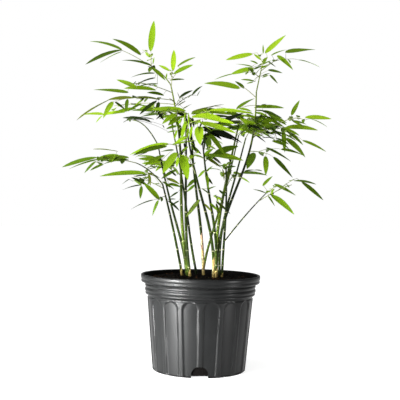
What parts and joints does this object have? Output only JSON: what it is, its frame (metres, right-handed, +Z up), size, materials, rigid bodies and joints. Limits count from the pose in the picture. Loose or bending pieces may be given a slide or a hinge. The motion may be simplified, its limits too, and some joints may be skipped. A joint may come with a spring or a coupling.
{
  "type": "potted bamboo",
  "caption": "Young clumping bamboo: slender leaning canes rise from dark soil in a round fluted nursery pot, with loose layered sprays of long pointed leaves.",
  "frame": {"origin": "centre of the pot's flat underside", "axes": "+Z up, -Y the front that the picture shows, +X to its right"},
  "size_m": [0.6073, 0.6311, 0.822],
  "materials": {
    "pot": "satin black moulded plastic",
    "soil": "dark moist potting mix of bark and peat",
    "cane": "smooth dark green cane with pale node rings and straw sheaths",
    "bough": "thin olive and straw twig",
    "leaf": "soft satin yellow-green to dark green leaf"
  },
  "bodies": {
    "root": {"pot": "pot", "soil": "soil", "cane_back_left": "cane", "cane_back_right": "cane", "cane_centre": "cane", "cane_front_crossing": "cane", "cane_front_inner": "cane", "cane_left_arching": "cane", "cane_left_front": "cane", "cane_left_inner": "cane", "cane_left_tall": "cane", "cane_right_back": "cane", "cane_right_front": "cane", "cane_right_green": "cane", "cane_right_tall": "cane", "bough_far_left": "bough", "bough_left_arch": "bough", "bough_low_right": "bough", "bough_right_middle": "bough", "bough_top_left": "bough", "bough_top_right": "bough", "leaves_back_left": "leaf", "leaves_back_left_low": "leaf", "leaves_back_right": "leaf", "leaves_back_right_low": "leaf", "leaves_centre_front": "leaf", "leaves_centre_low": "leaf", "leaves_crown_left": "leaf", "leaves_crown_right": "leaf", "leaves_far_left": "leaf", "leaves_far_left_high": "leaf", "leaves_far_right_high": "leaf", "leaves_far_right_low": "leaf", "leaves_far_top_left": "leaf", "leaves_front": "leaf", "leaves_front_high": "leaf", "leaves_front_right": "leaf", "leaves_heart_high": "leaf", "leaves_heart_right": "leaf", "leaves_left_arch": "leaf", "leaves_left_arch_tip": "leaf", "leaves_left_high": "leaf", "leaves_left_low": "leaf", "leaves_left_lowest": "leaf", "leaves_left_middle": "leaf", "leaves_left_shoulder": "leaf", "leaves_low_right_far": "leaf", "leaves_low_right_near": "leaf", "leaves_lowest_middle": "leaf", "leaves_right_back": "leaf", "leaves_right_branch": "leaf", "leaves_right_droop": "leaf", "leaves_right_heart": "leaf", "leaves_right_heart_low": "leaf", "leaves_right_high": "leaf", "leaves_right_high_inner": "leaf", "leaves_right_upper": "leaf", "leaves_top_inner": "leaf", "leaves_top_left_low": "leaf", "leaves_upper_middle": "leaf"}
  },
  "joints": []
}
